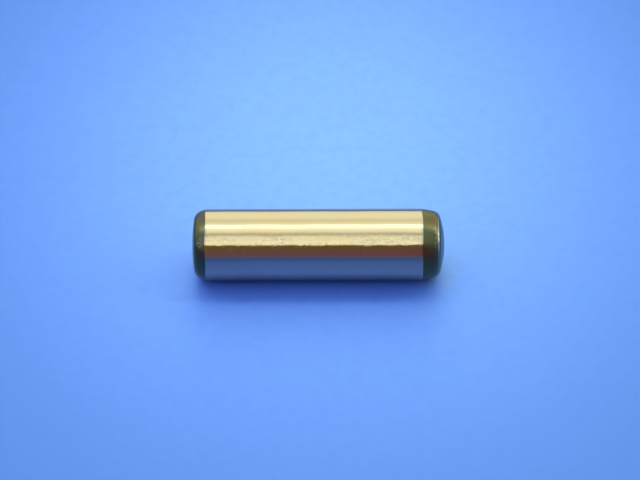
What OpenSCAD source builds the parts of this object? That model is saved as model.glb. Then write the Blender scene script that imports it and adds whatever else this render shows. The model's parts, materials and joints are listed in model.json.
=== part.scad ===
// Hardened and ground dowel pin, turned from one piece of steel.
// It lies along X with its lead end at +X, and the origin is the middle of the pin on its axis.
// Sizes are in millimetres and angles in degrees.

/* [Pin] */
// Diameter of the ground shank
shank_d = 8; // [5:0.5:20]
// Overall length, from the top of one crown to the top of the other
pin_l = 28; // [12:1:100]

/* [Lead end] */
// Length of the taper that guides the pin into its hole
lead_taper_l = 1.2; // [0.4:0.1:2.4]
// Angle between that taper and the axis
lead_taper_angle = 13; // [4:1:25]
// Radius of the round corner between the taper and the crown
lead_corner_r = 1; // [0.4:0.1:2]
// Radius of the domed crown
lead_crown_r = 10.4; // [6:0.2:40]

/* [Rounded end] */
// Length of the short taper beside the shank
rounded_taper_l = 0.6; // [0.2:0.1:1.6]
// Angle between that taper and the axis
rounded_taper_angle = 26; // [10:1:40]
// Radius of the round corner between the taper and the crown
rounded_corner_r = 1.1; // [0.4:0.1:2]
// Radius of the nearly flat crown
rounded_crown_r = 20; // [8:0.5:60]

/* [Hidden] */
$fn = 180;

shank_r = shank_d / 2;
lead_l = end_length(lead_taper_l, lead_taper_angle, lead_corner_r, lead_crown_r);
rounded_l = end_length(rounded_taper_l, rounded_taper_angle, rounded_corner_r, rounded_crown_r);
shank_low_end = rounded_l - pin_l / 2;
shank_high_end = pin_l / 2 - lead_l;
// How far a round corner stands over the taper and the crown, so that the outlines cross
corner_lap = 0.0005;

// The points below are [distance from the axis, distance out from the edge of the shank].

// Where the taper ends and the round corner begins
function taper_tip(taper_l, taper_angle) =
    [shank_r - taper_l * tan(taper_angle), taper_l];

// Centre of the round corner, which runs on smoothly from the taper
function corner_centre(taper_l, taper_angle, corner_r) =
    taper_tip(taper_l, taper_angle) - corner_r * [cos(taper_angle), sin(taper_angle)];

// Centre of the crown, on the axis, from which the crown runs on smoothly from the corner
function crown_centre(corner, corner_r, crown_r) =
    [0, corner[1] - sqrt(pow(crown_r - corner_r, 2) - pow(corner[0], 2))];

// How far an end reaches out from the shank, as far as the top of its crown
function end_length(taper_l, taper_angle, corner_r, crown_r) =
    crown_centre(corner_centre(taper_l, taper_angle, corner_r), corner_r, crown_r)[1] + crown_r;

// Half section of one end: the taper, the round corner and the crown
module end_section(taper_l, taper_angle, corner_r, crown_r) {
    tip = taper_tip(taper_l, taper_angle);
    corner = corner_centre(taper_l, taper_angle, corner_r);
    crown = crown_centre(corner, corner_r, crown_r);
    crown_edge = crown + (corner - crown) * crown_r / (crown_r - corner_r);
    top = crown[1] + crown_r;

    polygon([[0, 0], [shank_r, 0], tip, crown_edge, [0, crown_edge[1]]]);
    intersection() {
        translate(corner) circle(r = corner_r + corner_lap);
        square([shank_r, top]);
    }
    intersection() {
        translate(crown) circle(r = crown_r);
        translate([0, crown_edge[1]]) square([crown_edge[0], top - crown_edge[1]]);
    }
}

// The ground shank, bright all over, drawn from the edge of one end to the edge of the other
module shank() {
    rotate_extrude()
        polygon([
            [0, shank_low_end],
            [shank_r, shank_low_end],
            [shank_r, shank_high_end],
            [0, shank_high_end],
        ]);
}

// The end that goes into a hole first
module lead_end() {
    translate([0, 0, shank_high_end])
        rotate_extrude()
            end_section(lead_taper_l, lead_taper_angle, lead_corner_r, lead_crown_r);
}

// The end that is struck or pressed
module rounded_end() {
    translate([0, 0, shank_low_end])
        mirror([0, 0, 1])
            rotate_extrude()
                end_section(rounded_taper_l, rounded_taper_angle, rounded_corner_r, rounded_crown_r);
}

// The whole pin: a bright shank between two ends that keep the dark skin of hardening
module dowel_pin() {
    rotate([0, 90, 0]) {
        color("lightgray") shank();
        color("darkslategray") lead_end();
        color("darkslategray") rounded_end();
    }
}

dowel_pin();
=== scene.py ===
# %% [markdown]
# # A hardened and ground dowel pin
#
# A dowel pin is turned from one bar of steel, hardened, and then ground on its shank alone. Hardening
# leaves a dark skin of oxide all over, and the grinding wheel takes it off wherever it touches. So the
# shank is bright and the two shaped ends stay dark. This lesson dresses the plain solid of such a pin
# with one mesh and two materials, and then lights it the way small bright metal is lit.

# %% Load the frame
import json
import math

import bpy
import numpy as np
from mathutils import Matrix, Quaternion, Vector


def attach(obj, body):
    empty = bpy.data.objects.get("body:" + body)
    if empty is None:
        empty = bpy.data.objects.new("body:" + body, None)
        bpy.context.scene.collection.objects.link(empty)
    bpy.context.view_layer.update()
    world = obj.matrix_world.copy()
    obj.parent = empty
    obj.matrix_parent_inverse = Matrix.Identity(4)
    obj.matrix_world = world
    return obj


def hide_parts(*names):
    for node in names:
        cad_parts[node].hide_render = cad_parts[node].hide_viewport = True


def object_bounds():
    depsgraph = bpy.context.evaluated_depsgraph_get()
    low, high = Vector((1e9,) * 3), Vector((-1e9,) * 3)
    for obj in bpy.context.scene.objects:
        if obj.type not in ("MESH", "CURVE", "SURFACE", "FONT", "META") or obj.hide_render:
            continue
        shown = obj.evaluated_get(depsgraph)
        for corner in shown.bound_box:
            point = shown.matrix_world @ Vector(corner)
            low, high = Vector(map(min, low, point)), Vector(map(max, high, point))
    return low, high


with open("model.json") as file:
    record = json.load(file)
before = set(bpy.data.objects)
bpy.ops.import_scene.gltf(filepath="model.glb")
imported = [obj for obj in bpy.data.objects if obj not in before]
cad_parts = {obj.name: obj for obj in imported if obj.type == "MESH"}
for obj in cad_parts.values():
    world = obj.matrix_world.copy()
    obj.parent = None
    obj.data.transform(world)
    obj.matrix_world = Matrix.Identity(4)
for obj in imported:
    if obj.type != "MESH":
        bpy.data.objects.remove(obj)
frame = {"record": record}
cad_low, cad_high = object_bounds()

MM = 0.001
print("The plain solid's box, in mm:", [round((b - a) / MM, 3) for a, b in zip(cad_low, cad_high)])

# %% [markdown]
# ## Sizes
#
# The packed solid says how long and how thick the pin is, and its one mount says where the ground
# shank starts and stops. The same numbers could be typed in again, but when they are read from the
# frame the dressed pin can't disagree with the solid. Only the shape of the two ends is written here:
# each is a taper, then a round corner, then a domed crown. The shoulder is how much smaller than the
# shank the end was turned, and the bead is a low ridge that the tool left round the corner.

# %% Sizes from the frame, in millimetres
mount = frame["record"]["mounts"][0]
SHANK_R = min(cad_high[1] - cad_low[1], cad_high[2] - cad_low[2]) / 2 / MM
SHANK_MIDDLE = mount["pos_m"][0] / MM
SHANK_L = mount["dims"]["length_mm"]
SHANK_LOW = SHANK_MIDDLE - SHANK_L / 2
SHANK_HIGH = SHANK_MIDDLE + SHANK_L / 2
print(f"Shank from {SHANK_LOW:.3f} to {SHANK_HIGH:.3f} mm, radius {SHANK_R:.4f} mm")

# %% Sizes of the two ends, in millimetres and degrees
LEAD_END = {
    "taper_l": 1.2,
    "taper_angle": 13,
    "corner_r": 1.0,
    "crown_r": 10.4,
    "shoulder": 0.065,
    "bead_turn": 46,
    "bead_height": 0.016,
    "bead_width": 0.060,
}
ROUNDED_END = {
    "taper_l": 0.6,
    "taper_angle": 26,
    "corner_r": 1.1,
    "crown_r": 20,
    "shoulder": 0.045,
    "bead_turn": 66,
    "bead_height": 0.006,
    "bead_width": 0.035,
}
print(f"Tapers of {LEAD_END['taper_angle']} and {ROUNDED_END['taper_angle']} degrees")

# %% [markdown]
# ## The outline of an end
#
# A lathe makes a shape by moving a tool along an outline while the bar turns. The ends could be cut
# from a cylinder with bevels, but a bevel can't follow a taper that is slightly bulged. So the mesh is
# made the lathe's way: first the outline, as distances out from the edge of the shank and distances
# from the axis, and later a ring of points at each step of it. The arcs are worked out from their
# centres, so the corner meets the taper and the crown without a kink, and light runs over it smoothly.

# %% Steps of an outline
TAPER_STEPS = 12
CORNER_STEPS = 16
CROWN_STEPS = 22
BEAD_STEPS = 13
BEAD_REACH = 3
print(TAPER_STEPS + CORNER_STEPS + CROWN_STEPS, "steps to an end, with", BEAD_STEPS, "points on its bead")


# %% The taper
def taper_points(taper_l, angle, shoulder, tip_r):
    """The taper: it starts flatter than a straight cone, and ends in line with the corner."""
    start_slope = 2 * (SHANK_R - shoulder - tip_r) / taper_l - math.tan(angle)
    bulge = (math.tan(angle) - start_slope) / (2 * taper_l)
    points = []
    for i in range(TAPER_STEPS + 1):
        out = taper_l * i / TAPER_STEPS
        points.append((out, SHANK_R - shoulder - start_slope * out - bulge * out ** 2))
    return points


print("A taper has", TAPER_STEPS + 1, "points")


# %% The round corner and its bead
def corner_turns(first, last, corner_r, bead_turn, bead_width):
    """The turns at which the corner gets a point, with the points of the bead among them."""
    turns = np.linspace(first, last, CORNER_STEPS + 1)[1:]
    bead = math.radians(bead_turn) + np.linspace(-BEAD_REACH, BEAD_REACH, BEAD_STEPS) * bead_width / corner_r
    beside = [turn for turn in turns if turn < bead[0] or turn > bead[-1]]
    return sorted(beside + list(bead))


def corner_points(turns, centre_out, centre_r, corner_r, bead_turn, bead_height, bead_width):
    """The round corner, raised a little where the bead is."""
    points = []
    for turn in turns:
        from_bead = (turn - math.radians(bead_turn)) * corner_r / bead_width
        r = corner_r + bead_height * math.exp(-from_bead ** 2)
        points.append((centre_out + r * math.sin(turn), centre_r + r * math.cos(turn)))
    return points


print("A bead is spread over", BEAD_STEPS, "of the corner's points")


# %% The whole outline of an end
def end_outline(taper_l, taper_angle, corner_r, crown_r, shoulder, bead_turn, bead_height, bead_width):
    """Points (out, radius) from the edge of the shank to the top of the crown."""
    angle = math.radians(taper_angle)
    tip_r = SHANK_R - taper_l * math.tan(angle)
    centre_r = tip_r - corner_r * math.cos(angle)
    centre_out = taper_l - corner_r * math.sin(angle)
    crown_centre = centre_out - math.sqrt((crown_r - corner_r) ** 2 - centre_r ** 2)
    crown_angle = math.asin(centre_r / (crown_r - corner_r))

    points = taper_points(taper_l, angle, shoulder, tip_r)
    turns = corner_turns(angle, math.pi / 2 - crown_angle, corner_r, bead_turn, bead_width)
    points += corner_points(turns, centre_out, centre_r, corner_r, bead_turn, bead_height, bead_width)
    for i in range(1, CROWN_STEPS + 1):
        turn = crown_angle * (1 - i / CROWN_STEPS)
        points.append((crown_centre + crown_r * math.cos(turn), crown_r * math.sin(turn)))
    return points


lead_outline = end_outline(**LEAD_END)
rounded_outline = end_outline(**ROUNDED_END)
print(f"Lead end {lead_outline[-1][0]:.3f} mm long, rounded end {rounded_outline[-1][0]:.3f} mm")

# %% [markdown]
# ## Where the skin starts
#
# The grinding wheel stops where it runs off onto the taper. An end that was turned a few hundredths of
# a millimetre off the ground axis meets the wheel a little earlier on one side than on the other, so
# the border of the dark skin isn't quite straight. Noise in the material could draw such a border, but
# it would look torn. A few soft bumps in the mesh itself, each with a direction round the pin, a width
# in degrees and a shift along the pin, give a border that wanders slowly and still is a clean edge.

# %% Points round the pin
AROUND = 256
SEED = 8
angles = np.linspace(0, 2 * math.pi, AROUND, endpoint=False)
chance = np.random.default_rng(SEED)


def turn_from(degrees):
    """The angle of each point round the pin from one direction, from -180 to 180 degrees."""
    return (np.degrees(angles) - degrees + 180) % 360 - 180


print(AROUND, "points to a ring,", round(2 * math.pi * SHANK_R / AROUND, 3), "mm apart")

# %% The border of the skin
LEAD_BORDER = ((105, 13, -0.09), (20, 60, -0.03), (34, 8, -0.09), (-90, 50, 0.05), (190, 40, -0.06))
ROUNDED_BORDER = (
    (43, 13, -0.06), (86, 22, 0.04), (38, 5, 0.05),
    (8, 20, 0.05), (180, 50, -0.05), (-80, 30, 0.05),
)
LEAD_EDGE_SHIFT = -0.04
ROUNDED_EDGE_SHIFT = 0.07


def border(bumps):
    """The shift of the border along the pin, all round."""
    return sum(shift * np.exp(-(turn_from(middle) / width) ** 2) for middle, width, shift in bumps)


lead_edge = SHANK_HIGH + LEAD_EDGE_SHIFT + border(LEAD_BORDER)
rounded_edge = SHANK_LOW + ROUNDED_EDGE_SHIFT + border(ROUNDED_BORDER)
print(f"The borders wander {np.ptp(lead_edge):.2f} mm and {np.ptp(rounded_edge):.2f} mm")

# %% [markdown]
# ## Roll-off and waves
#
# A perfect cylinder reflects like a computer picture. A real shank rolls off over the last fraction of
# a millimetre before each end, where the wheel and the tumbling barrel soften the edge, and centreless
# grinding leaves it about a thousandth of a millimetre out of round, in slow waves that make every
# reflection wander. Both could be faked with a bump in the material. Here they are real shape, because
# the reflection of a long bright line shows the smallest slope, and shape also stays in the mesh
# wherever the mesh is used.

# %% Roll-off and waves
ROLL_OFF_L = 0.35
ROLL_OFF_DEPTH = 0.014
WAVES = 7
WAVE_HEIGHT = 0.0011
WAVE_COUNTS = (3, 9)
WAVE_LEAN = 1.6


def grinding_wave():
    """One slow wave: how often it goes round, how it leans along the pin, and where it starts."""
    count = chance.integers(*WAVE_COUNTS)
    along = chance.uniform(-WAVE_LEAN, WAVE_LEAN)
    start = chance.uniform(0, 2 * math.pi)
    return count, along, start


def roll_off(gap):
    """How far the surface falls away at a distance from the edge of the shank."""
    return ROLL_OFF_DEPTH * np.clip(1 - gap / ROLL_OFF_L, 0, 1) ** 2


def waviness(x):
    """How far the slow waves of grinding lie under the full radius, at every point of a ring."""
    return WAVE_HEIGHT * sum(1 - np.cos(count * angles + along * x + start) for count, along, start in waves)


waves = [grinding_wave() for _ in range(WAVES)]
print("The waves go round", [int(count) for count, along, start in waves], "times")

# %% [markdown]
# ## Nicks
#
# A pin out of a box has been handled. It rolled against other pins, so one side of it carries a track
# of small nicks, and the rest has a few. A picture of scratches could be laid over the pin, but a
# picture slides and blurs. Each nick here is a soft dent in the mesh, with a place along and around the
# pin, a length, a width, a depth and a slant. The larger ones are listed one by one where they catch the
# light, and the small ones are scattered along four tracks by chance, with a fixed seed.


# %% One nick
def nick(x, degrees, length, width, depth, slant=0):
    """A nick: its place along and around the pin, its size, and its slant from the pin's axis."""
    return {"x": x, "degrees": degrees, "length": length, "width": width,
            "depth": depth, "slant": math.radians(slant)}


print("A nick has", ", ".join(nick(0, 0, 1, 1, 0)))

# %% The larger nicks
NICKS = [
    nick(9.30, 53, 0.16, 0.08, 0.022, 0),
    nick(9.52, 55, 0.20, 0.07, 0.020, 50),
    nick(-9.32, 51, 0.09, 0.26, 0.016, 0),
    nick(-8.55, 34, 0.26, 0.08, 0.018, 60),
    nick(0.96, 21, 0.12, 0.09, 0.018, 0),
    nick(0.80, 33, 0.09, 0.20, 0.006, 0),
    nick(4.88, 27, 0.07, 0.28, 0.018, 0),
    nick(3.20, 20, 0.22, 0.12, 0.006, 20),
    nick(5.62, 46, 0.20, 0.14, 0.017, -30),
    nick(5.95, 49, 0.10, 0.08, 0.010, 30),
    nick(5.35, 43, 0.12, 0.09, 0.010, 70),
    nick(6.95, 56, 0.18, 0.09, 0.011, 0),
    nick(5.10, 58, 0.16, 0.09, 0.011, 0),
    nick(0.30, 55, 0.14, 0.09, 0.011, 0),
    nick(-1.75, 53, 0.14, 0.12, 0.015, 0),
    nick(-2.25, 53, 0.14, 0.09, 0.011, 40),
    nick(-3.20, 50, 0.14, 0.09, 0.012, 60),
    nick(-4.05, 46, 0.16, 0.10, 0.011, 0),
    nick(-11.6, 53, 0.20, 0.09, 0.009, 0),
    nick(-9.85, 54, 0.16, 0.08, 0.010, -40),
    nick(9.50, -12, 0.14, 0.10, 0.007, 0),
    nick(-8.05, -8, 0.18, 0.12, 0.006, 0),
]
print(len(NICKS), "nicks set by hand, the deepest", max(n["depth"] for n in NICKS), "mm deep")

# %% The scattered nicks: the middle and spread of each track in degrees, and its number of nicks
TRACKS = ((47, 6.5, 150), (205, 30, 30), (120, 40, 16), (-60, 40, 30))
TRACK_ENDS = (-12.3, 11.3)
SMALL_LENGTHS = (0.09, 0.20)
SMALL_WIDTHS = (0.07, 0.11)
SMALL_DEPTHS = (0.001, 0.006)
ANY_SLANT = (-90, 90)

for middle, spread, number in TRACKS:
    for _ in range(number):
        NICKS.append(nick(chance.uniform(*TRACK_ENDS), middle + chance.normal(0, spread),
                          chance.uniform(*SMALL_LENGTHS), chance.uniform(*SMALL_WIDTHS),
                          chance.uniform(*SMALL_DEPTHS), chance.uniform(*ANY_SLANT)))
print(len(NICKS), "nicks in all")

# %% The depth of the nicks
NICK_REACH = 1


def nick_depth(x):
    """The depth of the nicks at every point of a ring."""
    total = np.zeros(AROUND)
    for n in NICKS:
        along = x - n["x"]
        if abs(along) < NICK_REACH:
            around = SHANK_R * np.radians(turn_from(n["degrees"]))
            u = (along * math.cos(n["slant"]) + around * math.sin(n["slant"])) / n["length"]
            v = (around * math.cos(n["slant"]) - along * math.sin(n["slant"])) / n["width"]
            total += n["depth"] * np.exp(-(u ** 2 + v ** 2))
    return total


print(f"The ring at the first nick is dented by up to {nick_depth(NICKS[0]['x']).max():.3f} mm")

# %% [markdown]
# ## The rings
#
# The pin becomes one closed skin of rings, from the top of one crown to the top of the other. A
# modifier could turn the outline into rings, but it gives every ring the same spacing and the same
# round shape. Made in code, the rings stand close enough together on the shank for the nicks to have a
# true shape, and closer still in the roll-off, and each may be dented. Near the border a ring follows
# the border's wander, and further out on the end it is a true circle again.

# %% One ring
SHANK_STEP = 0.103
FINE_STEPS = 8


def ring(x, radius):
    """The points of one ring, in metres."""
    x = x + np.zeros(AROUND)
    return np.stack([x, -radius * np.cos(angles), radius * np.sin(angles)], axis=1) * MM


print("A ring starts at the front:", ring(0.0, SHANK_R)[0].round(4).tolist())

# %% Rings of the shank
fine = np.linspace(0, ROLL_OFF_L, FINE_STEPS, endpoint=False)
coarse_steps = round((SHANK_L - 2 * ROLL_OFF_L) / SHANK_STEP)
coarse = np.linspace(ROLL_OFF_L, SHANK_L - ROLL_OFF_L, coarse_steps + 1)
shank_rings = []
for from_low in np.concatenate([fine, coarse, (SHANK_L - fine)[::-1]]):
    share = from_low / SHANK_L
    x = rounded_edge + (lead_edge - rounded_edge) * share
    gap = min(from_low, SHANK_L - from_low)
    middle_x = SHANK_LOW + from_low
    radius = SHANK_R - waviness(middle_x) - roll_off(gap) - nick_depth(middle_x)
    shank_rings.append(ring(x, radius))
print(len(shank_rings), "rings on the shank")


# %% Rings of the ends
def end_rings(outline, taper_l, nominal, edge, direction):
    """The rings of one end, from the border to just before the top of the crown."""
    rings = []
    for out, radius in outline[:-1]:
        straighten = min(1.0, out / taper_l)
        start = edge * (1 - straighten) + nominal * straighten
        rings.append(ring(start + direction * out, radius))
    return rings


lead_rings = end_rings(lead_outline, LEAD_END["taper_l"], SHANK_HIGH, lead_edge, 1)
rounded_rings = end_rings(rounded_outline, ROUNDED_END["taper_l"], SHANK_LOW, rounded_edge, -1)
print(len(lead_rings), "and", len(rounded_rings), "rings on the ends")

# %% [markdown]
# ## One mesh, two finishes
#
# The real pin is one piece of steel, so it is one mesh here, with no gap between the shank and its
# ends. Three objects, a bright one and two dark ones, would be simpler, but their edges could show
# light between them. Instead each face is told which of the two finishes it has, so the border of the skin
# is a true edge in the mesh. Shading is smooth everywhere but at the small step from the shank down to
# each end. Both edges of that step are marked sharp, because the wheel leaves it crisp.

# %% Points of the pin
rings = rounded_rings[::-1] + shank_rings + lead_rings
tops = np.array([[cad_low[0], 0, 0], [cad_high[0], 0, 0]])
points = np.concatenate(rings + [tops])
low_top = len(points) - 2
high_top = len(points) - 1
first_shank_ring = len(rounded_rings)
last_shank_ring = first_shank_ring + len(shank_rings) - 1
print(len(rings), "rings and", len(points), "points")

# %% Faces of the pin, each bright or dark
faces = []
is_skin = []
for r in range(len(rings) - 1):
    for a in range(AROUND):
        b = (a + 1) % AROUND
        faces.append((r * AROUND + a, r * AROUND + b, (r + 1) * AROUND + b, (r + 1) * AROUND + a))
        is_skin.append(not first_shank_ring <= r < last_shank_ring)
last = (len(rings) - 1) * AROUND
for a in range(AROUND):
    b = (a + 1) % AROUND
    faces.append((low_top, b, a))
    faces.append((high_top, last + a, last + b))
    is_skin.extend([True, True])
print(len(faces), "faces,", sum(is_skin), "of them dark skin")

# %% The mesh
mesh = bpy.data.meshes.new("turned_pin")
mesh.from_pydata(points.tolist(), [], faces)
mesh.polygons.foreach_set("material_index", [int(skin) for skin in is_skin])
mesh.polygons.foreach_set("use_smooth", [True] * len(faces))

border_rings = [first_shank_ring - 1, first_shank_ring, last_shank_ring, last_shank_ring + 1]
edge_points = np.zeros(len(mesh.edges) * 2, dtype=int)
mesh.edges.foreach_get("vertices", edge_points)
ring_a, ring_b = (edge_points.reshape(-1, 2) // AROUND).T
sharp = (ring_a == ring_b) & np.isin(ring_a, border_rings)
mesh.attributes.new("sharp_edge", "BOOLEAN", "EDGE").data.foreach_set("value", sharp)
mesh.update()
print(sharp.sum(), "sharp edges at the two borders of the skin")

# %% The pin takes the place of the plain solid
pin = bpy.data.objects.new("turned_pin", mesh)
bpy.context.scene.collection.objects.link(pin)
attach(pin, "root")
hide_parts("dowel_pin")
print("The pin has", sum(len(face) - 2 for face in faces), "triangles")

# %% [markdown]
# ## A helper for materials
#
# A finish in Blender is a graph of nodes. It could be drawn by hand in the node editor, but then it
# can't be read as a lesson. This small helper adds one node at a time and plugs its inputs, so that a
# finish reads from top to bottom like a recipe. Its most useful parts are the step, which goes softly
# from one value to another, the bell, which picks out a stripe, and the patches, which are noise with
# its contrast turned up.


# %% The node helper
class Nodes:
    """Adds nodes to a graph, and takes plain numbers or other nodes' outputs as inputs."""

    def __init__(self, tree):
        self.tree = tree
        tree.nodes.clear()

    def add(self, kind, inputs=(), **settings):
        """Adds one node, sets it, and plugs its inputs."""
        node = self.tree.nodes.new(kind)
        for name, value in settings.items():
            setattr(node, name, value)
        for key, value in dict(inputs).items():
            self.plug(node.inputs[key], value)
        return node

    def plug(self, socket, value):
        """Joins an output to an input, or writes a plain value on the input."""
        if isinstance(value, bpy.types.NodeSocket):
            self.tree.links.new(value, socket)
        else:
            socket.default_value = value

    def math(self, operation, a, b=0.0, c=0.0):
        """One sum."""
        return self.add("ShaderNodeMath", {0: a, 1: b, 2: c}, operation=operation).outputs[0]

    def times(self, a, b):
        """The product of two values, which also keeps one mask inside another."""
        return self.math("MULTIPLY", a, b)

    def step(self, value, low, high, to_low=0.0, to_high=1.0):
        """Goes smoothly from one value to another while the input goes from low to high."""
        limits = {"From Min": low, "From Max": high, "To Min": to_low, "To Max": to_high}
        node = self.add("ShaderNodeMapRange", {"Value": value, **limits}, interpolation_type="SMOOTHSTEP")
        return node.outputs["Result"]

    def bell(self, value, middle, width):
        """One at the middle, and falling to nothing a little past the width on both sides."""
        away = self.math("DIVIDE", self.math("SUBTRACT", value, middle), width)
        return self.math("EXPONENT", self.times(self.times(away, away), -1.0))

    def noise(self, place, grains, detail=2.0, roughness=0.5):
        """Noise, with its number of grains to a metre along x, y and z."""
        scaled = self.add("ShaderNodeMapping", {"Vector": place, "Scale": grains}).outputs["Vector"]
        node = self.add("ShaderNodeTexNoise",
                        {"Vector": scaled, "Scale": 1.0, "Detail": detail, "Roughness": roughness})
        return node.outputs["Fac"]

    def patches(self, place, grains, detail, roughness, low, high, to_low=0.0, to_high=1.0):
        """Patches of noise, which fade in while the noise goes from low to high."""
        return self.step(self.noise(place, grains, detail, roughness), low, high, to_low, to_high)

    def mix(self, factor, a, b):
        """One colour where the factor is nought, and another where it is one."""
        return self.add("ShaderNodeMix", {0: factor, 6: a, 7: b}, data_type="RGBA").outputs[2]


print("The helper can", ", ".join(name for name in vars(Nodes) if not name.startswith("_")))


# %% A new material
def new_material(name):
    """A new material, its node helper and its shader."""
    material = bpy.data.materials.new(name)
    material.use_nodes = True
    nodes = Nodes(material.node_tree)
    shader = nodes.add("ShaderNodeBsdfPrincipled")
    nodes.add("ShaderNodeOutputMaterial", {"Surface": shader.outputs[0]})
    return material, nodes, shader


def round_angle(nodes, place):
    """The angle round the pin's axis, in degrees: 0 towards the front, 90 at the top."""
    x, y, z = nodes.add("ShaderNodeSeparateXYZ", {0: place}).outputs
    return nodes.math("DEGREES", nodes.math("ARCTAN2", z, nodes.times(y, -1.0)))


print("One degree round the shank is", round(math.radians(1) * SHANK_R, 3), "mm")

# %% [markdown]
# ## Ground steel: the handled side
#
# The side that was handled is worn in a stripe along the pin. A brush could paint that stripe by hand,
# and it would have to be painted again for each new pin. Here it is a bell of the angle round the pin,
# times large soft clusters of noise, so the wear comes and goes along the stripe as real wear does.
# Inside it lie streaks, rubbed specks, stains and pits, each of them noise with its own grain. Below
# the stripe a second one holds the smudges that fingers leave.

# %% Where the handled side is, in degrees
TRACK_MIDDLE = 49
TRACK_WIDTH = 12
SMUDGE_MIDDLE = 32
SMUDGE_WIDTH = 11
CLUSTERS = {"grains": (330, 700, 700), "detail": 2.0, "roughness": 0.5,
            "low": 0.38, "high": 0.60, "to_low": 0.30, "to_high": 1.25}


def handled_track(nodes, place, turned):
    """The stripe of handling, strong in clusters and weak between them."""
    stripe = nodes.bell(turned, TRACK_MIDDLE, TRACK_WIDTH)
    return nodes.times(stripe, nodes.patches(place, **CLUSTERS))


print("The handled stripe is about", round(2 * math.radians(TRACK_WIDTH) * SHANK_R, 1), "mm wide")

# %% [markdown]
# ## Ground steel: its colour
#
# Steel has a grey of its own, a little warmer in some places than in others. One flat grey would do
# for a new pin. This one has two greys in long soft patches, and on them, inside the handled stripe,
# faint brown streaks, paler specks where it was rubbed, and darker stains. For a metal the colour is
# the share of light that it gives back, so it also tints every reflection.

# %% Colour of the steel
STEEL_COLOUR = (0.355, 0.342, 0.305, 1)
STEEL_WARM = (0.372, 0.340, 0.285, 1)
STEEL_RUBBED = (0.450, 0.435, 0.385, 1)
STEEL_STAINED = (0.215, 0.195, 0.150, 1)
STREAK_SHARE = 0.35
WARM_PATCHES = {"grains": (120, 500, 500), "detail": 2.0, "roughness": 0.5, "low": 0.35, "high": 0.65}
STREAKS = {"grains": (260, 3400, 3400), "detail": 3.0, "roughness": 0.6, "low": 0.40, "high": 0.75}
RUBBED_SPECKS = {"grains": (3000, 5200, 5200), "detail": 3.0, "roughness": 0.65, "low": 0.55, "high": 0.68}
STAINS = {"grains": (4600, 4600, 4600), "detail": 3.0, "roughness": 0.65, "low": 0.60, "high": 0.72}


def steel_colour(nodes, place, track, rubbed):
    """The colour of the ground steel."""
    colour = nodes.mix(nodes.patches(place, **WARM_PATCHES), STEEL_COLOUR, STEEL_WARM)
    streaks = nodes.times(nodes.patches(place, **STREAKS), track)
    colour = nodes.mix(nodes.times(streaks, STREAK_SHARE), colour, STEEL_STAINED)
    colour = nodes.mix(rubbed, colour, STEEL_RUBBED)
    stained = nodes.times(nodes.patches(place, **STAINS), track)
    return nodes.mix(stained, colour, STEEL_STAINED)


print("The steel gives back", STEEL_COLOUR[:3], "of the light")

# %% [markdown]
# ## Ground steel: how sharp it reflects
#
# Grinding leaves thousands of fine lines round the shank. Each is far too small to see, but together
# they smear a reflection along the pin and leave it sharp around it. Drawing every line in the mesh
# would take millions of faces, and a plain round gloss would smear all ways alike. The shader does it
# with anisotropy, and its tangent is turned round the pin's axis. The rubbed specks and the smudges
# are duller than the rest, so they break the edge of a reflection up.

# %% Gloss of the steel
STEEL_EDGE = (1.0, 0.9, 0.78, 1)
STEEL_SMEAR = 0.75
STEEL_SMEAR_TURN = 0.25
RUBBED_DULLING = 0.06
SMUDGE_DULLING = 0.22
GRINDING_LINES = {"grains": (9000, 500, 500), "detail": 3.0, "roughness": 0.6,
                  "low": 0.3, "high": 0.7, "to_low": 0.11, "to_high": 0.14}
SMUDGES = {"grains": (2200, 3800, 3800), "detail": 3.0, "roughness": 0.6, "low": 0.58, "high": 0.74}


def steel_dullness(nodes, place, turned, rubbed):
    """The roughness of the ground steel."""
    dullness = nodes.patches(place, **GRINDING_LINES)
    dullness = nodes.math("MULTIPLY_ADD", rubbed, RUBBED_DULLING, dullness)
    lower = nodes.bell(turned, SMUDGE_MIDDLE, SMUDGE_WIDTH)
    smudges = nodes.times(nodes.patches(place, **SMUDGES), lower)
    return nodes.math("MULTIPLY_ADD", smudges, SMUDGE_DULLING, dullness)


print("Clean steel has a roughness of", GRINDING_LINES["to_low"], "to", GRINDING_LINES["to_high"])

# %% [markdown]
# ## Ground steel: its finest relief
#
# Between the nicks of the mesh lie pits finer than the mesh can hold, and the ground face itself is
# uneven by a thousandth of a millimetre or so. A mesh fine enough for them would be too heavy, so they
# are a bump, which only tilts the reflection. The pits lie inside the handled stripe.

# %% Relief of the steel
STEEL_RELIEF = 0.0000016
PIT_DEPTH = -3.0
FINE_WAVES = {"grains": (500, 1600, 1600), "detail": 3.0}
PITS = {"grains": (4200, 5200, 5200), "detail": 2.0, "roughness": 0.6, "low": 0.58, "high": 0.74}


def steel_relief(nodes, place, track):
    """The bump of the ground steel."""
    pits = nodes.times(nodes.patches(place, **PITS), track)
    height = nodes.math("MULTIPLY_ADD", pits, PIT_DEPTH, nodes.noise(place, **FINE_WAVES))
    bump = nodes.add("ShaderNodeBump", {"Height": height, "Strength": 1.0, "Distance": STEEL_RELIEF})
    return bump.outputs[0]


print("The finest relief is", round(STEEL_RELIEF / MM, 4), "mm high")


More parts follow.
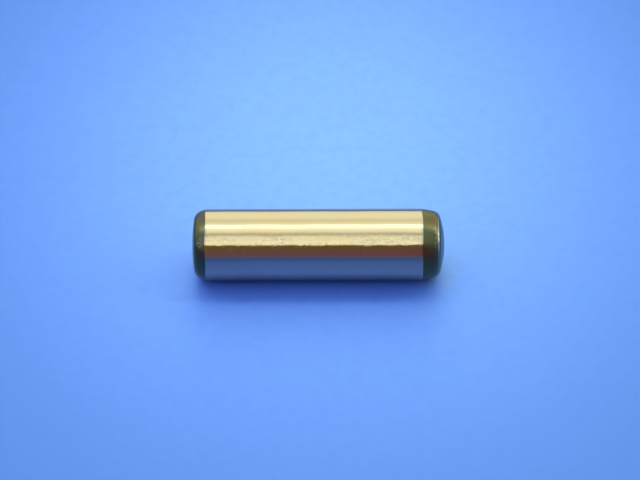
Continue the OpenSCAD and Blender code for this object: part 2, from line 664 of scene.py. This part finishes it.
# %% Ground steel
def ground_steel():
    """The bright finish of the shank."""
    material, nodes, shader = new_material("ground_steel")
    place = nodes.add("ShaderNodeTexCoord").outputs["Object"]
    turned = round_angle(nodes, place)
    track = handled_track(nodes, place, turned)
    rubbed = nodes.times(nodes.patches(place, **RUBBED_SPECKS), track)
    tangent = nodes.add("ShaderNodeTangent", direction_type="RADIAL", axis="X")

    shader.inputs["Metallic"].default_value = 1.0
    shader.inputs["Specular Tint"].default_value = STEEL_EDGE
    shader.inputs["Anisotropic"].default_value = STEEL_SMEAR
    shader.inputs["Anisotropic Rotation"].default_value = STEEL_SMEAR_TURN
    nodes.plug(shader.inputs["Tangent"], tangent.outputs[0])
    nodes.plug(shader.inputs["Base Color"], steel_colour(nodes, place, track, rubbed))
    nodes.plug(shader.inputs["Roughness"], steel_dullness(nodes, place, turned, rubbed))
    nodes.plug(shader.inputs["Normal"], steel_relief(nodes, place, track))
    return material


pin.data.materials.append(ground_steel())
print("Ground steel takes", len(pin.data.materials[0].node_tree.nodes), "nodes")

# %% [markdown]
# ## The dark skin: its colour
#
# The skin is a thin oxide, olive black and slightly glossy. One dark colour would look like paint. The
# real skin is mottled with brown, greener on the round corners, where the tumbling barrel thinned it,
# and it has a few rusty clouds and one rusty spot. Each of these is a patch of noise, or a place along
# and around the pin, mixed over the first colour. The oxide is so thin that it still shines like
# metal, so it is made as a very dark metal and not as a coat of something else.

# %% Colours of the skin
SKIN_COLOUR = (0.092, 0.097, 0.046, 1)
SKIN_BROWN = (0.110, 0.096, 0.048, 1)
SKIN_GREEN = (0.082, 0.108, 0.044, 1)
SKIN_RUSTY = (0.135, 0.082, 0.045, 1)
SKIN_RUST_SPOT = (0.170, 0.080, 0.046, 1)
CORNER_START = 13.15 * MM
GREEN_FADE = 0.2 * MM
GREEN_SHARE = 0.7
MOTTLE = {"grains": (900, 900, 900), "detail": 4.0, "roughness": 0.6}
BROWN_MOTTLE = (0.38, 0.62)
RUSTY_CLOUDS = {"grains": (600, 500, 500), "detail": 3.0, "roughness": 0.6, "low": 0.60, "high": 0.72}
RUSTY_PATCH = (12.90 * MM, 0.18 * MM, 90, 6)
print("The corners turn greener from", round(CORNER_START / MM, 2), "mm out")


# %% Colour of the skin
def patch(nodes, x, turned, middle_x, half_x, middle_turn, half_turn):
    """One inside a small patch, given its place and size along the pin and around it."""
    return nodes.times(nodes.bell(x, middle_x, half_x), nodes.bell(turned, middle_turn, half_turn))


def skin_colour(nodes, place, x, along, turned, mottle):
    """The colour of the skin before it is worn."""
    colour = nodes.mix(nodes.step(mottle, *BROWN_MOTTLE), SKIN_COLOUR, SKIN_BROWN)
    green = nodes.step(along, CORNER_START, CORNER_START + GREEN_FADE)
    colour = nodes.mix(nodes.times(green, GREEN_SHARE), colour, SKIN_GREEN)
    colour = nodes.mix(nodes.patches(place, **RUSTY_CLOUDS), colour, SKIN_RUSTY)
    return nodes.mix(patch(nodes, x, turned, *RUSTY_PATCH), colour, SKIN_RUST_SPOT)


print("The rusty spot is about", round(2 * RUSTY_PATCH[1] / MM, 2), "mm long")

# %% [markdown]
# ## The dark skin: where it is worn, and where a highlight is painted
#
# A thin skin wears through first on ridges. On the lead end the bead of the corner and one fine turning
# line at the foot of the corner are bright steel, partly worn and partly a painted highlight: they are
# painted brightest on the handled side, where they catch the light. The rounded end has a rubbed
# patch, and both have small chips. Blender can find ridges by itself, but it can't know which side was
# handled. So each of these places is a bell at its own distance along the pin, broken up by noise, and
# the strongest of them wins at each point.

# %% Places of wear and of painted highlights
SKIN_WORN_AND_HIGHLIGHT = (0.60, 0.58, 0.50, 1)
# The ridge and the fine line are partly worn steel and partly a painted highlight, painted brightest round
# the handled side.
LEAD_RIDGE_WEAR_AND_HIGHLIGHT = (13.27 * MM, 0.075 * MM)
LEAD_FINE_RING_WEAR_AND_HIGHLIGHT = (12.92 * MM, 0.04 * MM)
RIDGE_HIGHLIGHT_MIDDLE = 50
RIDGE_HIGHLIGHT_WIDTH = 20
WEAR_AND_HIGHLIGHT_ON_HANDLED_SIDE = 0.75
WEAR_ALL_ROUND = 0.25
WEAR_BREAKS = {"grains": (1500, 2600, 2600), "detail": 4.0, "roughness": 0.7}
RIDGE_BREAKS = (0.30, 0.55)
FINE_RING_BREAKS = (0.42, 0.62)
print("The worn ridge lies", round(LEAD_RIDGE_WEAR_AND_HIGHLIGHT[0] / MM, 2), "mm out, and the fine line beside it",
      round(LEAD_FINE_RING_WEAR_AND_HIGHLIGHT[0] / MM, 2), "mm")

# %% Patch and chips
RUBBED_PATCH = (-13.16 * MM, 0.30 * MM, 46, 5)
RUBBED_GRAIN = {"grains": (3600, 5200, 5200), "detail": 2.0, "roughness": 0.6, "low": 0.48, "high": 0.62}
CHIPS = {"grains": (4200, 4200, 4200), "detail": 2.0, "roughness": 0.5, "low": 0.71, "high": 0.79}
FINE_RING_WEAR_AND_HIGHLIGHT_SHARE = 0.7
RUBBED_SHARE = 0.7
CHIP_SHARE = 0.5
print("The rubbed patch is about", round(2 * RUBBED_PATCH[1] / MM, 2), "mm long")


# %% Wear of the skin
def skin_wear_and_highlight(nodes, place, x, turned):
    """One where the skin is worn through to steel, and on the lead ridge and fine line also where a
    highlight is painted.
    """
    breaks = nodes.noise(place, **WEAR_BREAKS)
    # Painted highlight: this bell round the pin makes the ridge and the fine line brightest where they catch
    # the light.
    handled = nodes.bell(turned, RIDGE_HIGHLIGHT_MIDDLE, RIDGE_HIGHLIGHT_WIDTH)
    most = nodes.math("MULTIPLY_ADD", handled, WEAR_AND_HIGHLIGHT_ON_HANDLED_SIDE, WEAR_ALL_ROUND)
    ridge = nodes.times(nodes.bell(x, *LEAD_RIDGE_WEAR_AND_HIGHLIGHT), nodes.step(breaks, *RIDGE_BREAKS))
    ridge = nodes.times(ridge, most)
    fine_ring_wear_and_highlight = nodes.times(nodes.bell(x, *LEAD_FINE_RING_WEAR_AND_HIGHLIGHT), nodes.step(breaks, *FINE_RING_BREAKS))
    fine_ring_wear_and_highlight = nodes.times(fine_ring_wear_and_highlight, most)
    rubbed = nodes.times(nodes.patches(place, **RUBBED_GRAIN), patch(nodes, x, turned, *RUBBED_PATCH))
    chips = nodes.patches(place, **CHIPS)
    worn = nodes.math("MAXIMUM", ridge, nodes.times(fine_ring_wear_and_highlight, FINE_RING_WEAR_AND_HIGHLIGHT_SHARE))
    worn = nodes.math("MAXIMUM", worn, nodes.times(rubbed, RUBBED_SHARE))
    return nodes.math("MAXIMUM", worn, nodes.times(chips, CHIP_SHARE))


print("Away from the handled side the ridge keeps", WEAR_ALL_ROUND, "of its wear")

# %% [markdown]
# ## The dark skin: its relief
#
# The crowns were faced off on the lathe, and the tool left rings there that are too fine to count. The
# whole skin also has the grain of hardening. Both are finer than the mesh, so both are a bump: the
# rings are a sine of the distance from the axis, kept to the crowns, on top of fine noise.

# %% Relief of the skin
CROWN_START = 13.75 * MM
CROWN_FADE = 0.05 * MM
RING_SPACING = 0.16 * MM
RING_HEIGHT = 0.12
SKIN_BUMP = 0.5
SKIN_RELIEF = 0.00001
SKIN_GRAIN = {"grains": (5000, 5000, 5000), "detail": 4.0}


def skin_relief(nodes, place, along, y, z):
    """The bump of the skin."""
    radius = nodes.math("SQRT", nodes.math("ADD", nodes.times(y, y), nodes.times(z, z)))
    rings = nodes.math("SINE", nodes.times(radius, 2 * math.pi / RING_SPACING))
    on_crown = nodes.step(along, CROWN_START - CROWN_FADE, CROWN_START + CROWN_FADE)
    grain = nodes.noise(place, **SKIN_GRAIN)
    height = nodes.math("MULTIPLY_ADD", nodes.times(rings, on_crown), RING_HEIGHT, grain)
    bump = nodes.add("ShaderNodeBump", {"Height": height, "Strength": SKIN_BUMP, "Distance": SKIN_RELIEF})
    return bump.outputs[0]


print("The turning rings are", round(RING_SPACING / MM, 2), "mm apart")

# %% Dark skin
SKIN_DULLNESS = (0.3, 0.7, 0.27, 0.36)


def dark_skin():
    """The dark finish of both ends."""
    material, nodes, shader = new_material("dark_skin")
    place = nodes.add("ShaderNodeTexCoord").outputs["Object"]
    x, y, z = nodes.add("ShaderNodeSeparateXYZ", {0: place}).outputs
    along = nodes.math("ABSOLUTE", x)
    turned = round_angle(nodes, place)
    mottle = nodes.noise(place, **MOTTLE)
    colour = skin_colour(nodes, place, x, along, turned, mottle)
    worn = skin_wear_and_highlight(nodes, place, x, turned)

    shader.inputs["Metallic"].default_value = 1.0
    # The bright steel here is wear, and on the lead ridge and fine line also a painted highlight.
    nodes.plug(shader.inputs["Base Color"], nodes.mix(worn, colour, SKIN_WORN_AND_HIGHLIGHT))
    nodes.plug(shader.inputs["Roughness"], nodes.step(mottle, *SKIN_DULLNESS))
    nodes.plug(shader.inputs["Normal"], skin_relief(nodes, place, along, y, z))
    return material


pin.data.materials.append(dark_skin())
print("Dark skin takes", len(pin.data.materials[1].node_tree.nodes), "nodes")

# %% [markdown]
# ## The floor
#
# The pin lies on a plain sheet of pale blue paper with a satin face. A flat matt blue would be simpler,
# but satin paper also gives back a soft sheen of the cloth behind it, and that sheen is missing where
# the pin stands in its way, which makes the shadow deep and blue. So the paper is partly matt and
# partly metal-like, with a wide gloss. Its colour is painted palest in a pool round and behind the pin
# and darker away from there: a painted pool of light, as under a lamp with a shade. Its fibres show
# as faint flecks. The sheet is far larger than the view, so it has no edge.

# %% Colours of the paper, with its painted pool of light
# FLOOR_MIDDLE and FLOOR_AWAY paint a pool of light: the paper is painted paler round and behind the pin.
FLOOR_MIDDLE = (0.165, 0.35, 0.95, 1)
FLOOR_AWAY = (0.028, 0.107, 0.455, 1)
PAINTED_LIGHT_POOL_MIDDLE = (1.5 * MM, 20 * MM)
PAINTED_LIGHT_POOL_SIZE = (37 * MM, 47 * MM)
FLECKS = {"grains": (800, 800, 800), "detail": 4.0, "roughness": 0.65,
          "low": 0.42, "high": 0.66, "to_low": 1.0, "to_high": 0.90}


def paper_colour_and_painted_light_pool(nodes):
    """The colour of the paper, with a painted pool of light round and behind the pin, and faint flecks."""
    place = nodes.add("ShaderNodeTexCoord").outputs["Object"]
    floor_x, floor_y, _ = nodes.add("ShaderNodeSeparateXYZ", {0: place}).outputs
    # Painted pool of light: these bells make the paper paler round and behind the pin.
    painted_pool_x = nodes.bell(floor_x, PAINTED_LIGHT_POOL_MIDDLE[0], PAINTED_LIGHT_POOL_SIZE[0])
    painted_pool_y = nodes.bell(floor_y, PAINTED_LIGHT_POOL_MIDDLE[1], PAINTED_LIGHT_POOL_SIZE[1])
    pool = nodes.times(nodes.times(painted_pool_x, painted_pool_y), nodes.patches(place, **FLECKS))
    return nodes.mix(pool, FLOOR_AWAY, FLOOR_MIDDLE)


print("The pool reaches about", [round(size / MM) for size in PAINTED_LIGHT_POOL_SIZE], "mm from its middle")

# %% Satin of the paper
FLOOR_METALLIC = 0.4
FLOOR_IOR = 2.4
FLOOR_SHEEN = (0.45, 0.76, 1.0, 1)
FLOOR_DULLNESS = 0.58


def blue_paper():
    """The satin finish of the paper."""
    material, nodes, shader = new_material("blue_paper")
    nodes.plug(shader.inputs["Base Color"], paper_colour_and_painted_light_pool(nodes))
    shader.inputs["Metallic"].default_value = FLOOR_METALLIC
    shader.inputs["IOR"].default_value = FLOOR_IOR
    shader.inputs["Specular Tint"].default_value = FLOOR_SHEEN
    shader.inputs["Roughness"].default_value = FLOOR_DULLNESS
    return material


print("The paper is", FLOOR_METALLIC, "sheen and", round(1 - FLOOR_METALLIC, 2), "matt")

# %% The floor
FLOOR_Z = cad_low[2]
FLOOR_HALF = 100.0

floor_mesh = bpy.data.meshes.new("paper_floor")
corners = [(-FLOOR_HALF, -FLOOR_HALF), (FLOOR_HALF, -FLOOR_HALF),
           (FLOOR_HALF, FLOOR_HALF), (-FLOOR_HALF, FLOOR_HALF)]
floor_mesh.from_pydata([(x, y, FLOOR_Z) for x, y in corners], [], [(0, 1, 2, 3)])
floor = bpy.data.objects.new("paper_floor", floor_mesh)
bpy.context.scene.collection.objects.link(floor)
floor.data.materials.append(blue_paper())
print("The floor lies", round(FLOOR_Z / MM, 3), "mm from the pin's axis")

# %% [markdown]
# ## The light tent: finding the way round it
#
# Bright metal shows whatever stands round it, so small metal parts are lit inside a tent of cloth with
# an opening for the camera. The tent could be built of meshes, but then it would stand in the way of
# the other views. Here it is the world, which has no walls to walk into. Two numbers say where a ray
# leaves the tent: how far it goes over, in degrees from the horizon on the camera's side, straight up,
# and down to the horizon behind, and how far it goes across, to the left or to the right.

# %% The world and its directions
world = bpy.data.worlds.new("light_tent")
bpy.context.scene.world = world
world.use_nodes = True
nodes = Nodes(world.node_tree)
direction = nodes.add("ShaderNodeTexCoord").outputs["Generated"]
across, towards_back, up = nodes.add("ShaderNodeSeparateXYZ", {0: direction}).outputs
sideways = nodes.math("ABSOLUTE", across)
towards_camera = nodes.times(towards_back, -1.0)
over = nodes.math("DEGREES", nodes.math("ARCTAN2", nodes.math("MAXIMUM", up, 0.0), towards_camera))
print("The world has", len(nodes.tree.nodes), "nodes that say where a ray goes")

# %% [markdown]
# ## The light tent: the cream strip
#
# Straight over the pin hangs a strip of cream cloth. A round bar gathers everything from one horizon
# to the other into its width, so the strip fills the whole shank and gives it a golden tone. Folds in
# the cloth are bands that are a little brighter or darker, each with a middle and a width in degrees
# and a gain, and they become the lines that run along the shank. Far behind, the cloth ends in a pale
# haze.

# %% Cream strip
TENT_CREAM = (2.23, 2.06, 1.27, 1)
TENT_BANDS = ((99, 10, 0.28), (76.5, 6, -0.44), (127, 8, -0.19), (50, 14, 0.14), (56.5, 2.5, -0.08))
BACK_HAZE = (1.45, 1.62, 1.85, 1)
HAZE_START = 152
HAZE_FULL = 182

glow = 1.0
for middle, width, gain in TENT_BANDS:
    glow = nodes.math("MULTIPLY_ADD", nodes.bell(over, middle, width), gain, glow)
strip = nodes.add("ShaderNodeVectorMath", {0: TENT_CREAM[:3], "Scale": glow}, operation="SCALE").outputs[0]
strip = nodes.mix(nodes.step(over, HAZE_START, HAZE_FULL), strip, BACK_HAZE)
print("The strip has", len(TENT_BANDS), "folds")

# %% [markdown]
# ## The light tent: the side cloths
#
# The shank never sees what hangs to the left and right, but the tapers and round corners lean that
# way and see little else. So the sides are bluer and darker than the strip, which leaves the ends
# dark. A pair of narrow warm cloths puts a soft olive gleam on each end, and a blue curtain puts a thin
# cold line on the round corner. All of it could be left one colour, and the ends would look cut out of
# paper.

# %% Side cloths
SIDE_CLOTH = (0.28, 0.62, 1.10, 1)
FRONT_CLOTH = (0.14, 0.16, 0.40, 1)
BACK_CLOTH = (1.40, 1.38, 1.10, 1)
FRONT_TO_SIDE = (30, 42)
SIDE_TO_BACK = (95, 125)

side = nodes.mix(nodes.step(over, *FRONT_TO_SIDE), FRONT_CLOTH, SIDE_CLOTH)
side = nodes.mix(nodes.step(over, *SIDE_TO_BACK), side, BACK_CLOTH)
print("The side cloth hangs from", FRONT_TO_SIDE[1], "to", SIDE_TO_BACK[0], "degrees")

# %% Warm cloths
WARM_CLOTH = (1.80, 1.50, 1.05, 1)
WARM_LEFT = -0.70
WARM_RIGHT = 0.36
WARM_WIDTH = 0.10
WARM_RIGHT_SHARE = 0.6
WARM_FOOT = (27, 35)
WARM_TOP = (96, 76)

warm = nodes.math("MULTIPLY_ADD", nodes.bell(across, WARM_RIGHT, WARM_WIDTH), WARM_RIGHT_SHARE,
                  nodes.bell(across, WARM_LEFT, WARM_WIDTH))
warm = nodes.times(warm, nodes.step(over, *WARM_FOOT))
warm = nodes.times(warm, nodes.step(over, *WARM_TOP))
side = nodes.mix(warm, side, WARM_CLOTH)
print("The warm cloths hang at", WARM_LEFT, "and", WARM_RIGHT)

# %% Right cloth and blue curtain
RIGHT_CLOTH = (0.12, 0.22, 0.70, 1)
RIGHT_EDGE = (0.60, 0.80)
RIGHT_RISE = (40, 54)
BLUE_CURTAIN = (0.0, 0.9, 7.8, 1)
BLUE_TOP = (0.7, 0.9, 2.2, 1)
CURTAIN_RISE = (65, 95)
CURTAIN_MIDDLE = -0.40
CURTAIN_WIDTH = 0.10

right = nodes.mix(nodes.step(over, *RIGHT_RISE), RIGHT_CLOTH, BACK_CLOTH)
side = nodes.mix(nodes.step(across, *RIGHT_EDGE), side, right)
curtain = nodes.mix(nodes.step(over, *CURTAIN_RISE), BLUE_CURTAIN, BLUE_TOP)
side = nodes.mix(nodes.bell(across, CURTAIN_MIDDLE, CURTAIN_WIDTH), side, curtain)
print("The curtain hangs at", CURTAIN_MIDDLE, "and is", 2 * CURTAIN_WIDTH, "wide")

# %% [markdown]
# ## The light tent: the horizon
#
# Seen from low down, a camera's view ends before the floor meets the sky, and the world shows in the
# gap. A step in colour there would look like a wall, and a curved backdrop would show in the pin. So
# the lowest few degrees of the world have the colour of the far floor, which is paler behind than to
# the sides.

# %% Horizon
STRIP_EDGE = (0.08, 0.24)
HORIZON_CLOTH = (0.243, 0.389, 0.762, 1)
HORIZON_SIDE = (0.112, 0.254, 0.743, 1)
HORIZON_TURN = (0.3, 0.8)
HORIZON_TOP = (0.025, 0.06)

cloth = nodes.mix(nodes.step(sideways, *STRIP_EDGE), strip, side)
horizon = nodes.mix(nodes.step(sideways, *HORIZON_TURN), HORIZON_CLOTH, HORIZON_SIDE)
cloth = nodes.mix(nodes.step(up, *HORIZON_TOP), horizon, cloth)
print("The horizon cloth ends", round(math.degrees(math.asin(HORIZON_TOP[1])), 1), "degrees up")

# %% [markdown]
# ## The light tent: its opening
#
# The camera looks in through an opening, and beyond it lies a dim room. Its reflection is the dark
# brown band along the shank, and the crisp line above that band is the lower hem of the cloth. Without
# an opening the bar would be all bright and lose its roundness. A black hole would do for that, but a
# real room isn't one tone: it is brown at the top, plum lower down and dusky at its floor, with
# something crimson to the right.

# %% Opening
OPENING_BROWN = (0.29, 0.215, 0.045, 1)
OPENING_PLUM = (0.315, 0.165, 0.19, 1)
OPENING_FLOOR = (0.28, 0.19, 0.27, 1)
OPENING_CRIMSON = (0.33, 0.06, 0.07, 1)
CRIMSON_MIDDLE = 0.11
CRIMSON_WIDTH = 0.06
PLUM_TO_BROWN = (14, 32)
FLOOR_TO_PLUM = (0, 9)

room = nodes.mix(nodes.step(over, *PLUM_TO_BROWN), OPENING_PLUM, OPENING_BROWN)
room = nodes.mix(nodes.bell(across, CRIMSON_MIDDLE, CRIMSON_WIDTH), room, OPENING_CRIMSON)
room = nodes.mix(nodes.step(over, *FLOOR_TO_PLUM), OPENING_FLOOR, room)
print("The room turns brown", PLUM_TO_BROWN[1], "degrees up")

# %% Hem of the opening, and the light
OPENING_TOP = 41.5
HEM_SOFTNESS = 1.5
OPENING_HALF_WIDTH = math.tan(math.radians(36))
OPENING_SIDE_SOFTNESS = 0.15
LEAST_DEPTH = 0.001

under_top = nodes.step(over, OPENING_TOP + HEM_SOFTNESS, OPENING_TOP - HEM_SOFTNESS)
spread = nodes.math("DIVIDE", sideways, nodes.math("MAXIMUM", towards_camera, LEAST_DEPTH))
inside = nodes.step(spread, OPENING_HALF_WIDTH * (1 + OPENING_SIDE_SOFTNESS),
                    OPENING_HALF_WIDTH * (1 - OPENING_SIDE_SOFTNESS))
light = nodes.mix(nodes.times(under_top, inside), cloth, room)
background = nodes.add("ShaderNodeBackground", {"Color": light, "Strength": 1.0})
nodes.add("ShaderNodeOutputWorld", {"Surface": background.outputs[0]})
print("The light tent takes", len(world.node_tree.nodes), "nodes")

# %% [markdown]
# ## The lamps
#
# Three long lamps lie end to end on top of the tent, a little behind the pin. The middle one is a
# softbox, and its reflection is the white line along the shank. The outer two are stronger, because
# the ends lean away from the middle and only the outer lamps light them. The white line could be one
# more fold of the tent, but lamps light the dark ends with far less noise. Their strength is given as
# the brightness of their face, and Blender is told the energy that makes it so.

# %% Lamps: start and end along the pin in metres, brightness, and colour
LAMP_ANGLE = 104
LAMP_DISTANCE = 0.9
LAMP_WIDTH = 0.20
LAMPS = {
    "softbox": (-0.36, 0.36, 1.33, (1.0, 0.98, 0.76)),
    "left_lamp": (-0.80, -0.36, 4.9, (1.0, 1.0, 0.75)),
    "right_lamp": (0.36, 1.9, 5.9, (1.0, 1.0, 0.75)),
}
lean = math.radians(LAMP_ANGLE)
over_pin = LAMP_DISTANCE * Vector((0, -math.cos(lean), math.sin(lean)))

for name, (start, end, brightness, colour) in LAMPS.items():
    lamp = bpy.data.lights.new(name, "AREA")
    lamp.shape = "RECTANGLE"
    lamp.size = end - start
    lamp.size_y = LAMP_WIDTH
    lamp.energy = brightness * math.pi * lamp.size * lamp.size_y
    lamp.color = colour
    holder = bpy.data.objects.new(name, lamp)
    bpy.context.scene.collection.objects.link(holder)
    holder.location = over_pin + Vector(((start + end) / 2, 0, 0))
    holder.rotation_mode = "QUATERNION"
    holder.rotation_quaternion = (-over_pin).to_track_quat("-Z", "Y")
    print(name, "is", round(lamp.size, 2), "m long and has", round(lamp.energy, 2), "W")

# %% [markdown]
# ## The camera
#
# A short lens close by would make the near end of the pin look fat. A long lens from over a third of a
# metre away keeps its edges nearly parallel, as in a catalogue. The camera looks down at the pin from
# the front and is rolled by a fraction of a degree, as a camera in the hand or on a tripod always is.

# %% Camera
LENS = 190
SENSOR = 36
NEAREST = 0.01
DISTANCE = 0.3754
ELEVATION = math.radians(43)
ROLL = math.radians(0.17)
AIM_RIGHT = 0.184 * MM
AIM_UP = 0.513 * MM

camera_data = bpy.data.cameras.new("camera")
camera_data.lens = LENS
camera_data.sensor_width = SENSOR
camera_data.clip_start = NEAREST
camera = bpy.data.objects.new("camera", camera_data)
bpy.context.scene.collection.objects.link(camera)
back = Vector((0, -math.cos(ELEVATION), math.sin(ELEVATION)))
image_up = Vector((0, math.sin(ELEVATION), math.cos(ELEVATION)))
aim = Vector((AIM_RIGHT, 0, 0)) + AIM_UP * image_up
camera.location = aim + DISTANCE * back
camera.rotation_mode = "QUATERNION"
camera.rotation_quaternion = (-back).to_track_quat("-Z", "Y") @ Quaternion((0, 0, 1), -ROLL)
bpy.context.scene.camera = camera
bpy.context.scene.view_settings.view_transform = "Standard"
print("The camera stands at", [round(value, 3) for value in camera.location], "m")

# %% [markdown]
# ## The end
